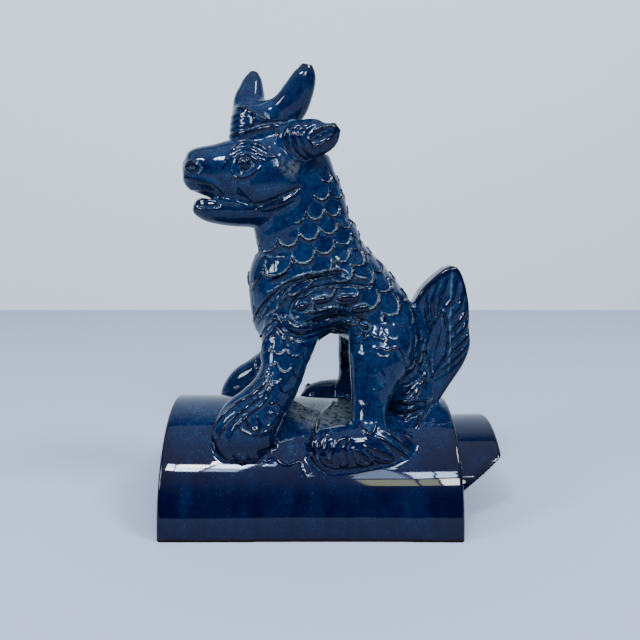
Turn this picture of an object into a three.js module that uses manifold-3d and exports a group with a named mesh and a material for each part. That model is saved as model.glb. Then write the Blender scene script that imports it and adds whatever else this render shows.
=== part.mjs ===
// A glazed half-round ridge tile with a seated ridge beast modelled in one piece with it.
//
// The beast is a horned, ox-headed animal covered in scales. It sits astride the tile, looks along
// the ridge towards -x with its head turned a little to the -y side, and lifts a leaf-shaped tail
// behind it. Millimetres, z up. The origin is on the bed under the middle of the whole length.

import * as THREE from "three";
import { mergeVertices } from "three/addons/utils/BufferGeometryUtils.js";
import Module from "manifold-3d";

const wasm = await Module();
wasm.setup();

// ---- Driving dimensions -------------------------------------------------------------------

const TILE_LENGTH = 170;
const TILE_RADIUS = 64;
const TILE_WALL = 11;
const SPIGOT_LENGTH = 27; // the tongue that lies under the next tile of the ridge
const SPIGOT_RADIUS = 52;
const SPIGOT_WALL = 10;
const SPIGOT_SHOULDER = 14; // how far the thickened ring reaches back into the barrel
const TILE_SEGMENTS = 36;
const CORNER_RADIUS = 6; // the barrel's foot is rounded at the spigot end
const SPIGOT_CUT_TOP = 39; // the tongue's sides are cut back in a slant from this height
const SPIGOT_CUT_FOOT = 21;

const HEAD_TURN = THREE.MathUtils.degToRad(13);
const HEAD_PIVOT_X = -8;

const BAND_RADIUS = 4; // the rolled ridge of the shoulder cloud
const OUTSIDE = 2 * TILE_RADIUS; // a distance that is clear of the beast on every side

const X_AXIS = new THREE.Vector3(1, 0, 0);
const Y_AXIS = new THREE.Vector3(0, 1, 0);
const Z_AXIS = new THREE.Vector3(0, 0, 1);
const NEAR = -1; // the side that the head turns to
const FAR = 1;
const BOTH_SIDES = [NEAR, FAR];

// ---- Solids from geometries ---------------------------------------------------------------

// A closed three.js geometry as a solid whose faces point outwards.
function solid(geometry) {
  const bare = geometry.clone();
  bare.deleteAttribute("normal");
  bare.deleteAttribute("uv");
  const merged = mergeVertices(bare, 1e-4);
  const triVerts = new Uint32Array(merged.index.array);
  const vertProperties = new Float32Array(merged.attributes.position.array);
  const made = new wasm.Manifold(new wasm.Mesh({ numProp: 3, vertProperties, triVerts }));
  if (made.volume() > 0) return made;
  for (let i = 0; i < triVerts.length; i += 3) {
    [triVerts[i], triVerts[i + 1]] = [triVerts[i + 1], triVerts[i]];
  }
  return new wasm.Manifold(new wasm.Mesh({ numProp: 3, vertProperties, triVerts }));
}

function joined(geometries) {
  return geometries.map(solid).reduce((whole, piece) => whole.add(piece));
}

function geometryOf(manifold) {
  const mesh = manifold.getMesh();
  const geometry = new THREE.BufferGeometry();
  geometry.setAttribute("position", new THREE.BufferAttribute(mesh.vertProperties, 3));
  geometry.setIndex(new THREE.BufferAttribute(mesh.triVerts, 1));
  return geometry;
}

// ---- Form helpers -------------------------------------------------------------------------

// A closed body through rings of points, its ends closed by fans.
function sleeve(rings) {
  const sides = rings[0].length;
  const middle = (ring) => ring.reduce((sum, p) => sum.add(p), new THREE.Vector3()).divideScalar(sides);
  const points = [middle(rings[0]), ...rings.flat(), middle(rings.at(-1))];
  const last = points.length - 1;
  const index = [];
  for (let k = 0; k < sides; k++) {
    const next = (k + 1) % sides;
    index.push(0, 1 + next, 1 + k);
    index.push(last, last - sides + k, last - sides + next);
    for (let ring = 0; ring < rings.length - 1; ring++) {
      const low = 1 + ring * sides;
      const high = low + sides;
      index.push(low + k, low + next, high + next, low + k, high + next, high + k);
    }
  }
  const geometry = new THREE.BufferGeometry().setFromPoints(points);
  geometry.setIndex(index);
  return geometry;
}

// A closed limb through stations [x, y, z, wide, deep]: its centre, its half width along the
// `across` direction and its half depth at right angles to that.
function limb(stations, { across = Y_AXIS, sides = 10 } = {}) {
  const spine = new THREE.CatmullRomCurve3(stations.map((s) => new THREE.Vector3(s[0], s[1], s[2])));
  const loops = stations.map(([x, y, z, wide, deep], station) => {
    const along = spine.getTangent(station / (stations.length - 1));
    const side = across.clone().projectOnPlane(along).normalize();
    const up = new THREE.Vector3().crossVectors(along, side);
    const loop = [];
    for (let k = 0; k < sides; k++) {
      const angle = (2 * Math.PI * k) / sides;
      const point = new THREE.Vector3(x, y, z).addScaledVector(side, wide * Math.cos(angle));
      loop.push(point.addScaledVector(up, deep * Math.sin(angle)));
    }
    return loop;
  });
  return sleeve(loops);
}

// A rolled ridge along points [x, y, z], thinner at both ends.
function cord(points, radius, { across = Y_AXIS, sides = 4, tip = 0.35 } = {}) {
  const stations = points.map((point, i) => {
    const end = i === 0 || i === points.length - 1;
    const r = end ? radius * tip : radius;
    return [...point, r, r];
  });
  return limb(stations, { across, sides });
}

const ball = (x, y, z, radius) => new THREE.SphereGeometry(radius, 8, 6).translate(x, y, z);

const onSide = (side) => ([x, y, ...rest]) => [x, y * side, ...rest];

// Finds the outer surface of a finished form, so that raised work follows it.
class Skin {
  constructor(manifold) {
    const geometry = geometryOf(manifold).toNonIndexed();
    this.mesh = new THREE.Mesh(geometry, new THREE.MeshBasicMaterial());
    this.caster = new THREE.Raycaster();
  }
  hit(from, towards) {
    this.caster.set(from, towards.clone().normalize());
    return this.caster.intersectObject(this.mesh)[0];
  }
  // The point [x, y, z] on one flank at (x, z), sunk a little below the surface.
  flank(x, z, side, sink = 0) {
    const found = this.hit(new THREE.Vector3(x, side * OUTSIDE, z), new THREE.Vector3(0, -side, 0));
    return found ? [x, found.point.y - side * sink, z] : null;
  }
  // A rolled ridge over the flank along a line through points [x, z], laid in `spans` pieces.
  ridge(points, side, radius, { sink = radius * 0.3, spans = points.length - 1, ...options } = {}) {
    const line = new THREE.SplineCurve(points.map(([x, z]) => new THREE.Vector2(x, z)));
    const route = [];
    for (let k = 0; k <= spans; k++) {
      const at = spans === points.length - 1 ? line.getPoint(k / spans) : line.getPointAt(k / spans);
      route.push(this.flank(at.x, at.y, side, sink));
    }
    return cord(route, radius, options);
  }
}

// ---- The tile -----------------------------------------------------------------------------

const BARREL_END = TILE_LENGTH / 2;
const SPIGOT_END = BARREL_END + SPIGOT_LENGTH;
const SHIFT_X = -SPIGOT_LENGTH / 2; // brings the middle of the whole length to the origin

function tile() {
  const barrelBore = TILE_RADIUS - TILE_WALL;
  const spigotBore = SPIGOT_RADIUS - SPIGOT_WALL;
  const shoulder = BARREL_END - SPIGOT_SHOULDER;
  const edge = 2; // worn edges
  const wall = [
    [barrelBore, -BARREL_END],
    [TILE_RADIUS - edge, -BARREL_END],
    [TILE_RADIUS, -BARREL_END + edge],
    [TILE_RADIUS, BARREL_END - edge],
    [TILE_RADIUS - edge, BARREL_END],
    [SPIGOT_RADIUS, BARREL_END],
    [SPIGOT_RADIUS - edge, SPIGOT_END - 3 * edge],
    [SPIGOT_RADIUS - 3 * edge, SPIGOT_END],
    [spigotBore, SPIGOT_END],
    [spigotBore, shoulder + SPIGOT_SHOULDER / 2],
    [barrelBore, shoulder],
    [barrelBore, -BARREL_END],
  ].map(([r, x]) => new THREE.Vector2(r, x));
  const ring = new THREE.LatheGeometry(wall, TILE_SEGMENTS).rotateZ(-Math.PI / 2);

  const outline = new THREE.Shape();
  outline.moveTo(-BARREL_END - 1, 0);
  outline.lineTo(BARREL_END - CORNER_RADIUS, 0);
  outline.absarc(BARREL_END - CORNER_RADIUS, CORNER_RADIUS, CORNER_RADIUS, -Math.PI / 2, 0, false);
  outline.lineTo(BARREL_END, SPIGOT_CUT_FOOT);
  outline.lineTo(SPIGOT_END, SPIGOT_CUT_TOP);
  outline.lineTo(SPIGOT_END + 1, SPIGOT_CUT_TOP + 1);
  outline.lineTo(SPIGOT_END + 1, TILE_RADIUS + 1);
  outline.lineTo(-BARREL_END - 1, TILE_RADIUS + 1);
  const sideView = new THREE.ExtrudeGeometry(outline, {
    depth: 2 * TILE_RADIUS + 2,
    bevelEnabled: false,
    curveSegments: 3,
  });
  sideView.translate(0, 0, -TILE_RADIUS - 1).rotateX(Math.PI / 2);
  return solid(ring).intersect(solid(sideView));
}

// The round former that the tile is pressed over; the beast's feet end in the wall above it.
function former() {
  const radius = TILE_RADIUS - TILE_WALL / 2;
  return solid(new THREE.CylinderGeometry(radius, radius, TILE_LENGTH, TILE_SEGMENTS).rotateZ(Math.PI / 2));
}

// ---- Trunk and limbs ----------------------------------------------------------------------

const NECK_AND_CHEST = [
  [-5, 0, 213, 14, 15.5],
  [-5, 0, 193, 20, 24.5],
  [-4.5, 0, 171, 22.5, 29.5],
  [0, 0, 153, 25.5, 32],
  [-6, 0, 133, 28, 34],
  [-11.5, 0, 117, 27, 26.5],
  [-14, 0, 104, 22, 18.5],
  [-14, 0, 96, 12, 9],
];

const BARREL_OF_BODY = [
  [-4, 0, 155, 20, 20],
  [12.5, 0, 142, 27, 26.5],
  [28.5, 0, 129, 28.5, 25],
  [43, 0, 113, 28.5, 22.5],
  [51, 0, 98, 25, 19],
  [56, 0, 83, 19, 15],
  [60, 0, 71, 17, 12.5],
  [61, 0, 61, 13, 10],
];

const FORELEG = [
  [-8, 13, 122, 11, 17],
  [-12, 23, 108, 12, 16],
  [-14.7, 28, 98, 12, 14.4],
  [-16.3, 32, 89.5, 11.5, 12.7],
  [-20.5, 36, 80, 11, 12.6],
  [-27.5, 39.5, 70.5, 11, 14.5],
  [-35, 42, 61, 11.5, 17.5],
  [-38.5, 44, 51, 11, 18],
  [-38.5, 45, 42.5, 8, 12],
];

const HIND_LEG = [
  [41, 15, 117, 10, 15],
  [41.5, 21, 106, 13, 18.5],
  [40, 25, 94, 14, 17.5],
  [37, 28, 82, 12.5, 14],
  [34.7, 31, 71, 11.5, 11],
  [33.8, 34.5, 61, 11.5, 10.4],
  [33.5, 38, 50, 11, 12],
];

const HIND_FOOT = [
  [59, 38, 44.5, 3, 4],
  [54, 40, 45.5, 7, 9],
  [44, 42, 46.5, 9.5, 12],
  [31, 43.5, 47.5, 11, 13.5],
  [17, 44.5, 46.5, 11.5, 14],
  [5, 44.5, 45.5, 9.5, 11.5],
  [-1.5, 44, 45, 4, 5],
];

const FAR_FOREFOOT_STEP = -7; // the far forefoot is set a little further forward
const FAR_HINDFOOT_STEP = [-5, -5, 6]; // the far hind foot stands forward and higher up the tile

function legStations(side) {
  const step = side === FAR ? FAR_FOREFOOT_STEP : 0;
  const foreleg = FORELEG.map(([x, ...rest], i) => [x + (step * i) / (FORELEG.length - 1), ...rest]);
  const [dx, dy, dz] = side === FAR ? FAR_HINDFOOT_STEP : [0, 0, 0];
  const hindLeg = HIND_LEG.map(([x, y, z, ...rest], i) => {
    const share = i / (HIND_LEG.length - 1);
    return [x + dx * Math.min(1, 0.6 + share), y + dy * share, z + dz * share, ...rest];
  });
  const hindFoot = HIND_FOOT.map(([x, y, z, ...rest]) => [x + dx, y + dy, z + dz, ...rest]);
  return [foreleg, hindLeg, hindFoot].map((stations) => stations.map(onSide(side)));
}

function legs(side) {
  const [foreleg, hindLeg, hindFoot] = legStations(side);
  return [
    limb(foreleg, { sides: 10 }),
    limb(hindLeg, { sides: 10 }),
    limb(hindFoot, { sides: 8 }),
    legCoat(foreleg.slice(0, 6), side, 3),
    legCoat(hindLeg.slice(0, 5), side, 2),
  ];
}

function trunk() {
  return [limb(NECK_AND_CHEST, { sides: 14 }), limb(BARREL_OF_BODY, { sides: 14 })];
}

// ---- Tail ---------------------------------------------------------------------------------

// A broad upright leaf of hair: a flat core with locks that leave the stem and end on its outline.
const TAIL_HALF_THICKNESS = 8.5;

function tail() {
  const t = TAIL_HALF_THICKNESS;
  const core = limb(
    [
      [69, 0, 62, t * 0.8, 5],
      [73, 0, 78, t, 7.5],
      [80, 0, 97, t, 14.5],
      [80.5, 0, 116, t, 15.5],
      [81, 0, 132, t * 0.9, 13],
      [84, 0, 144, t * 0.5, 5],
    ],
    { sides: 8 },
  );
  // Each lock: where it leaves the stem, where it bends and where its tip lies, as [x, z].
  const locks = [
    [[72, 76], [66, 100], [63.5, 118], [65.5, 132]],
    [[74, 96], [69.5, 115], [69.5, 130], [75.5, 143.5]],
    [[77, 108], [76, 122], [78, 135], [85.5, 149]],
    [[82, 110], [87, 121], [90, 132], [91.5, 143]],
    [[84, 100], [90, 106], [94, 112], [96, 122]],
    [[83, 90], [89, 95], [94, 99], [96.5, 108]],
    [[75, 75], [84, 79], [91, 85], [95, 94]],
    [[77, 80], [74.5, 92], [77, 104], [81.5, 114]],
  ];
  const lock = (points) =>
    limb(
      points.map(([x, z], i) => {
        const body = Math.sin((Math.PI * (i + 0.6)) / 4.2);
        return [x, 0, z, (t + 2.2) * (0.72 + 0.28 * body), 1 + 3.2 * body];
      }),
      { sides: 5 },
    );
  return [core, ...locks.map(lock)];
}

// ---- Head ---------------------------------------------------------------------------------
// The head is built looking straight along -x and turned about the neck afterwards.

const SKULL = [
  [8, 0, 205, 9, 9],
  [-1, 0, 206, 16, 16],
  [-12, 0, 206.5, 20, 21],
  [-24, 0, 205.5, 22, 23],
  [-36, 0, 203.6, 20, 21.2],
  [-47, 0, 203.2, 16, 18.7],
  [-57, 0, 203.2, 13.5, 15.8],
  [-66, 0, 203.6, 12, 13.4],
  [-72, 0, 203.2, 9.5, 10.2],
  [-75.3, 0, 203.2, 4.5, 5.2],
];

const LOWER_JAW = [
  [-10, 0, 188, 13, 8],
  [-22, 0, 185, 16, 9.5],
  [-34, 0, 182.5, 15, 9],
  [-46, 0, 181.3, 12.5, 7.6],
  [-56, 0, 182, 11, 7.6],
  [-64, 0, 182.8, 9.5, 6.2],
  [-69.6, 0, 183.4, 5, 3.2],
];

const CROWN = [
  [-27, 0, 216, 15, 17],
  [-28.5, 0, 226, 15.5, 19],
  [-29, 0, 233, 14.5, 17.5],
  [-28, 0, 239, 12, 14],
  [-28, 0, 243, 5, 6],
];

const FAR_HORN = [
  [-33, 4, 233, 9, 10],
  [-34, 7, 243, 7.5, 8.4],
  [-33, 9.5, 251, 5.6, 6.2],
  [-31.8, 11.5, 258.5, 3.8, 4.2],
  [-31.2, 12.3, 263.5, 1.3, 1.5],
];

const NEAR_HORN = [
  [-26, -3, 232, 9, 9],
  [-15, -9.5, 238.5, 8.5, 9],
  [-9.3, -13, 247.5, 6.6, 7.2],
  [-5.6, -15.5, 256.5, 4.4, 4.8],
  [-5.2, -17, 263.3, 1.4, 1.5],
];

const EAR = [
  [-19, 12, 221, 8, 8.5],
  [-11, 18.5, 221, 7, 10.2],
  [-3, 22.5, 221.3, 5.5, 10.6],
  [4, 25.5, 223, 4, 8],
  [9.5, 27.5, 227.3, 1.6, 2.6],
];
const FAR_EAR_LIFT = 8; // the far ear stands higher

const EYE = { x: -42, y: 15.2, z: 206.8, r: 5 };
const NOSTRIL = { x: -71, y: 6.5, z: 205.3, r: 4.3 };

function earOn(side) {
  const lift = side === FAR ? FAR_EAR_LIFT : 0;
  const raised = EAR.map(([x, y, z, ...r], i) => [x, y, z + (lift * i) / (EAR.length - 1), ...r]);
  const blade = limb(raised.map(onSide(side)), { sides: 8 });
  const cup = limb(
    [
      [-6, 27.5, 218.5 + lift * 0.55, 3.5, 3.5],
      [1, 29.5, 221.5 + lift * 0.75, 4, 4.5],
      [7.5, 30, 226 + lift, 1.5, 1.5],
    ].map(onSide(side)),
    { sides: 6 },
  );
  const wrinkle = [70, 30, -10, -50].map((degrees) => {
    const a = THREE.MathUtils.degToRad(degrees);
    return [-14 - 2 * Math.cos(a), (14.5 + 7.6 * Math.cos(a)) * side, 220.5 + 10 * Math.sin(a)];
  });
  return { add: [blade, cord(wrinkle, 1.8, { across: X_AXIS })], cut: [cup] };
}

// The raised lines of one side of the face, through points [x, z].
const BROW = [[-52.5, 203.5], [-49.5, 211], [-43, 217], [-35.5, 217.5], [-26.5, 212]];
const EYELIDS = [
  [-30, 209],
  [-41, 213],
  [-47.5, 209.5],
  [-49.5, 204],
  [-44, 199],
  [-34, 203.5],
];
const UPPER_LIP = [[-67.5, 194.5], [-63, 194], [-59, 191.8], [-56.3, 189]];
const JAW_GROOVE = [[-44.5, 185.5], [-35, 183], [-22, 187], [-9, 195]];

function head() {
  const core = joined([
    limb(SKULL, { sides: 14 }),
    limb(LOWER_JAW, { sides: 10 }),
    limb(CROWN, { sides: 12 }),
    limb(FAR_HORN, { sides: 8 }),
    limb(NEAR_HORN, { sides: 8 }),
  ]);
  const skin = new Skin(core);
  const raised = [];
  const sunk = [];
  for (const side of BOTH_SIDES) {
    for (const { x, y, z, r } of [EYE, NOSTRIL]) raised.push(ball(x, y * side, z, r));
    raised.push(skin.ridge(BROW, side, 1.7));
    raised.push(skin.ridge(EYELIDS, side, 1.4));
    raised.push(skin.ridge(UPPER_LIP, side, 1.4));
    sunk.push(skin.ridge(JAW_GROOVE, side, 1.6, { sink: 0 }));
    const ear = earOn(side);
    raised.push(...ear.add);
    sunk.push(...ear.cut);
  }
  // Wrinkled rolls round the front of the crown, under the horns.
  for (const k of [0, 1]) {
    const roll = [-80, -30, 30, 80].map((degrees) => {
      const a = THREE.MathUtils.degToRad(degrees);
      const x = -28.8 - (18.4 - 1.2 * k) * Math.cos(a);
      const y = (15.5 - 0.9 * k) * Math.sin(a);
      return [x, y, 226 + 7.5 * k + 3.5 * (1 - Math.cos(a))];
    });
    raised.push(cord(roll, 2.3, { across: Z_AXIS }));
  }
  return core.add(joined(raised)).subtract(joined(sunk));
}

function turnedHead() {
  const geometry = geometryOf(head());
  geometry.translate(-HEAD_PIVOT_X, 0, 0).rotateZ(HEAD_TURN).translate(HEAD_PIVOT_X, 0, 0);
  return solid(geometry);
}

// ---- Raised work on the body --------------------------------------------------------------

// The cloud band over the shoulder: a hairpin of rolled ridge, open towards the tail.
const SHOULDER_BAND = [
  [33, 140],
  [18, 142],
  [0, 139.5],
  [-12, 131.5],
  [-15.5, 121.5],
  [-9, 114],
  [3, 114],
  [18, 118.5],
  [32, 114.5],
];
const LEG_CHEVRON = [[-28, 108], [-19.5, 118], [-11, 108.5]];

// Locks swept down the shin and over the forefoot, curls at the fetlock, and the toes of the hind foot.
const FORELEG_LOCKS = [
  { radius: 2, line: [[-27, 84], [-35, 74], [-46, 64], [-55, 53]] },
  { radius: 2.2, line: [[-44, 66], [-38, 59], [-30, 57.5], [-23, 62], [-21, 69]] },
];
const HIND_FOOT_LOCKS = [
  { radius: 2.4, line: [[12, 57], [4, 52], [2, 43], [8, 37]] },
  { radius: 2.8, line: [[28, 54], [27, 46], [33, 38]] },
  { radius: 2.4, line: [[40, 56], [46, 49], [54, 42]] },
];

function bandsOn(skin, side) {
  const moved = (line, dx, dz) => line.map(([x, z]) => [x + dx, z + dz]);
  const forefoot = side === FAR ? FAR_FOREFOOT_STEP * 0.7 : 0;
  const [hindX, , hindZ] = side === FAR ? FAR_HINDFOOT_STEP : [0, 0, 0];
  return [
    skin.ridge(SHOULDER_BAND, side, BAND_RADIUS, { sides: 5, tip: 0.6, spans: 13, sink: 0.5 }),
    skin.ridge(LEG_CHEVRON, side, BAND_RADIUS * 0.6),
    ...FORELEG_LOCKS.map(({ radius, line }) => skin.ridge(moved(line, forefoot, 0), side, radius)),
    ...HIND_FOOT_LOCKS.map(({ radius, line }) => skin.ridge(moved(line, hindX, hindZ), side, radius)),
  ];
}

// A coat of scales: one closed sleeve along a line, whose rings follow the form below. Each row of
// scales rises to a scalloped free edge and steps down to the next row, half a scale across from it.
// Beyond its reach to either side of `facing` the sleeve runs inside the form.
const COAT_CLEARANCE = 0.8; // a scale's root above the form
const TRUNK_SCALE_LIFT = 3; // a scale's free edge above the form
const LEG_SCALE_LIFT = 2;
const COAT_DEPTH = -3; // the hidden part of the sleeve
const COAT_SCALLOP = 0.62; // depth of the free edge's curve, in rows
const POINTS_PER_SCALE = 4;
const HIDDEN_POINTS = 3;

function coat(skin, { line, rows, scales, reach, edgeLift, facing }) {
  const columns = scales * POINTS_PER_SCALE;
  const angles = [];
  for (let k = 0; k <= columns; k++) angles.push(reach * ((2 * k) / columns - 1));
  for (let k = 1; k <= HIDDEN_POINTS; k++) {
    angles.push(reach + ((2 * Math.PI - 2 * reach) * k) / (HIDDEN_POINTS + 1));
  }
  const pointAt = (place, angle, lift) => {
    const u = THREE.MathUtils.clamp(place / (rows + 1), 0, 1);
    const centre = line.getPointAt(u);
    const along = line.getTangentAt(u);
    const front = facing(along).projectOnPlane(along).normalize();
    const across = new THREE.Vector3().crossVectors(front, along);
    const out = front.multiplyScalar(Math.cos(angle)).addScaledVector(across, Math.sin(angle));
    const found = skin.hit(centre.clone().addScaledVector(out, OUTSIDE), out.clone().negate());
    return found.point.clone().addScaledVector(out, lift);
  };
  const rings = [];
  for (let row = 0; row <= rows; row++) {
    const roots = [];
    const edges = [];
    angles.forEach((angle, k) => {
      const shown = k > 0 && k < columns;
      const stagger = (row % 2) * (POINTS_PER_SCALE / 2);
      const across = ((k + stagger) % POINTS_PER_SCALE) / POINTS_PER_SCALE;
      const scallop = shown ? Math.sqrt(1 - (2 * across - 1) ** 2) : 0;
      const place = row + 0.35 + COAT_SCALLOP * scallop;
      roots.push(pointAt(place + 0.02, angle, shown ? COAT_CLEARANCE : COAT_DEPTH));
      edges.push(pointAt(place, angle, shown ? edgeLift * (0.7 + 0.3 * scallop) : COAT_DEPTH));
    });
    if (row > 0) rings.push(edges);
    if (row < rows) rings.push(roots);
  }
  return sleeve(rings);
}

function curve(points) {
  return new THREE.CatmullRomCurve3(points.map(([x, y, z]) => new THREE.Vector3(x, y, z)));
}

const BACK_LINE = curve(
  [[-5, 211], [-4, 190], [0, 167], [8, 148], [24, 130], [39, 114], [50, 98], [56, 84]].map(
    ([x, z]) => [x, 0, z],
  ),
);

function trunkCoat(trunkSkin) {
  return coat(trunkSkin, {
    line: BACK_LINE,
    rows: 11,
    scales: 7,
    reach: THREE.MathUtils.degToRad(118),
    edgeLift: TRUNK_SCALE_LIFT,
    facing: (along) => new THREE.Vector3().crossVectors(along, Y_AXIS),
  });
}

// Scales down the outside of a leg, between two of its stations.
function legCoat(stations, side, rows) {
  const form = new Skin(solid(limb(stations, { sides: 10 })));
  return coat(form, {
    line: curve(stations.slice(1, -1)),
    rows,
    scales: 3,
    reach: THREE.MathUtils.degToRad(95),
    edgeLift: LEG_SCALE_LIFT,
    facing: () => Y_AXIS.clone().multiplyScalar(side),
  });
}

// ---- Assembly -----------------------------------------------------------------------------

function ridgeBeastTile() {
  const bareTrunk = joined(trunk());
  const scaledTrunk = bareTrunk.add(solid(trunkCoat(new Skin(bareTrunk))));
  const limbs = joined([...BOTH_SIDES.flatMap(legs), ...tail()]);
  const plainBody = scaledTrunk.add(limbs).subtract(former()).add(tile());
  const skin = new Skin(plainBody);
  const raised = joined(BOTH_SIDES.flatMap((side) => bandsOn(skin, side)));
  return plainBody.add(raised).add(turnedHead());
}

const blueGlaze = new THREE.MeshStandardMaterial({ color: 0x14386b, roughness: 0.15, metalness: 0 });
const beastTile = new THREE.Mesh(geometryOf(ridgeBeastTile()), blueGlaze);
beastTile.name = "ridge_beast_tile";
beastTile.position.x = SHIFT_X;

const group = new THREE.Group();
group.add(beastTile);

export default group;
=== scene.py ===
# %% [markdown]
# # A glazed ridge tile with a seated beast
#
# A ridge tile covers the top of a roof, and its beast keeps watch over the house. Tile and beast are
# one piece of fired clay under one coat of cobalt-blue glaze. The clay is soft when it is worked:
# limbs are rolled and pressed on, seams are smeared shut, and scales and locks are drawn with a
# wooden tool. This lesson follows the same order: masses first, then drawn lines, then scales, and
# last the glaze.

import functools
import math

import bpy
import numpy as np
import openvdb
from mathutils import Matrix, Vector


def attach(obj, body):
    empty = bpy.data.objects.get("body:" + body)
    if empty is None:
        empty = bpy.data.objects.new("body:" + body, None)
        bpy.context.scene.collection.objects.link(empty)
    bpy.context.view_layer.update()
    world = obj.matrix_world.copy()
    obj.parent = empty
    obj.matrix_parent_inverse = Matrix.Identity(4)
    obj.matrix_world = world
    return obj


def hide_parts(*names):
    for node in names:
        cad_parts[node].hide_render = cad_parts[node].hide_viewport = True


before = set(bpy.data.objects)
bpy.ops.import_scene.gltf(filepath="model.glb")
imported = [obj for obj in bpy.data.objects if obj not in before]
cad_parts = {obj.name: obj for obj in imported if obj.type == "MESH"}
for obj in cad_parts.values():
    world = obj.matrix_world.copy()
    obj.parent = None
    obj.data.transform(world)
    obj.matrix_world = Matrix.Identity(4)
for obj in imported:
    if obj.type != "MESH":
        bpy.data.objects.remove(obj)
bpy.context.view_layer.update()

# %% [markdown]
# ## Clay as a field of distances
#
# Soft clay has no hard joins: where a leg meets the belly the maker's thumb leaves a fillet. Meshes
# joined by booleans keep hard creases, and metaballs lose their crisp lines. A grid of signed
# distances does both: two masses can melt together with a fillet of any size, and a thin cord of
# clay or a tool mark can be added or cut with its edge kept. The grid is in millimetres, with x = 0
# in the middle of the barrel.

# %% The clay grid
MM = 0.001
SPIGOT_LENGTH = 27
MIDDLE_X = -SPIGOT_LENGTH / 2  # the frame's origin is under the middle of barrel and spigot
VOXEL = 0.62
BAND = 5.0  # distances are kept this far from the surface
NEAR, FAR = -1, 1  # the two flanks: the head turns to the near one
BOTH_SIDES = (NEAR, FAR)


def melt(a, b, blend):
    """Two distance fields as one body, its crease filled with a fillet of about `blend`."""
    nearest = np.minimum(a, b)
    share = np.maximum(blend - np.abs(a - b), 0) / blend
    fade = np.clip((BAND - nearest) / blend, 0, 1)
    return nearest - share * share * fade * blend / 4


def sampled(points, low, field):
    """A grid's distances at any points, between its own by straight lines."""
    place = np.asarray(points) / VOXEL - low
    place = np.clip(place, 0, np.array(field.shape) - 1.001)
    base = place.astype(int)
    part = place - base
    total = 0
    for corner in np.ndindex(2, 2, 2):
        weight = np.prod(np.where(corner, part, 1 - part), axis=-1)
        i, j, k = np.moveaxis(base + corner, -1, 0)
        total = total + weight * field[i, j, k]
    return total


class Clay:
    """A body on the grid: negative distances inside, positive outside."""

    def __init__(self, low, high):
        self.low = np.floor(np.array(low) / VOXEL).astype(int)
        shape = np.ceil(np.array(high) / VOXEL).astype(int) - self.low
        self.field = np.full(shape, BAND, np.float32)

    def window(self, low, shape):
        """The parts of this grid and of a smaller one that lie on each other."""
        start = np.array(low) - self.low
        first = np.maximum(start, 0)
        last = np.minimum(start + shape, self.field.shape)
        mine = tuple(slice(a, b) for a, b in zip(first, last))
        other = tuple(slice(a, b) for a, b in zip(first - start, last - start))
        return mine, other

    def add(self, piece, blend, cut=False):
        """Melts a piece onto this body, or cuts it out."""
        low, near = piece
        sign = -1 if cut else 1
        mine, other = self.window(low, near.shape)
        self.field[mine] = sign * melt(sign * self.field[mine], near[other], blend)

    def piece(self):
        """This body as a piece to add to another: its lowest cell and its distances."""
        return self.low, self.field

    def surface(self, starts, directions, reach=170, step=0.4):
        """Where rays first meet the clay; rays that miss give nan."""
        travel = np.arange(0, reach, step)
        points = starts[:, None] + directions[:, None] * travel[None, :, None]
        inside = sampled(points, self.low, self.field) < 0
        first = inside.argmax(axis=1)
        hits = starts + directions * (travel[first] - step / 2)[:, None]
        hits[~inside.any(axis=1)] = np.nan
        return hits


# %% [markdown]
# ## Limbs and cords
#
# A limb is a loft: a few stations, each with its centre and its two half widths, joined by a smooth
# line. The grid library turns such a closed skin into distances. A thin cord is easier: the distance
# to a line of balls is a short formula, so lines drawn on the surface never need a mesh of their own.


# %% Lofts and cords
def spline(stations, steps):
    """A smooth line through rows of numbers, `steps` points to a span (Catmull-Rom)."""
    rows = np.array(stations, float)
    rows = np.vstack([2 * rows[0] - rows[1], rows, 2 * rows[-1] - rows[-2]])
    t = np.linspace(0, 1, steps, endpoint=False)[:, None]
    spans = []
    for a, b, c, d in zip(rows, rows[1:], rows[2:], rows[3:]):
        cubic = (3 * b - a - 3 * c + d) * t**3
        square = (2 * a - 5 * b + 4 * c - d) * t**2
        spans.append(0.5 * (2 * b + (c - a) * t + square + cubic))
    return np.vstack([*spans, rows[-2:-1]])


def unit(vectors):
    return vectors / np.linalg.norm(vectors, axis=-1, keepdims=True)


def loft(stations, across=(0, 1, 0), sides=36, steps=6, place=None):
    """A closed limb through stations [x, y, z, wide, deep] as a distance field."""
    line = spline(stations, steps)
    centre = line[:, :3]
    along = unit(np.gradient(centre, axis=0))
    across = np.array(across, float)
    side = unit(across - along * (along @ across)[:, None])
    up = np.cross(along, side)
    angle = np.linspace(0, 2 * np.pi, sides, endpoint=False)
    wide, deep = (np.maximum(line[:, k, None, None], 0.3) for k in (3, 4))
    rings = centre[:, None] + wide * np.cos(angle)[:, None] * side[:, None]
    rings = rings + deep * np.sin(angle)[:, None] * up[:, None]
    points = np.vstack([centre[:1], rings.reshape(-1, 3), centre[-1:]])
    if place:
        points = place(points)
    k = np.arange(sides)
    after = (k + 1) % sides
    triangles = [np.stack([0 * k, 1 + after, 1 + k], 1)]
    for ring in range(len(line) - 1):
        low = 1 + ring * sides
        high = low + sides
        triangles.append(np.stack([low + k, low + after, high + after], 1))
        triangles.append(np.stack([low + k, high + after, high + k], 1))
    last = len(points) - 1
    triangles.append(np.stack([0 * k + last, last - sides + k, last - sides + after], 1))
    return skin_field(points, np.vstack(triangles))


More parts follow.
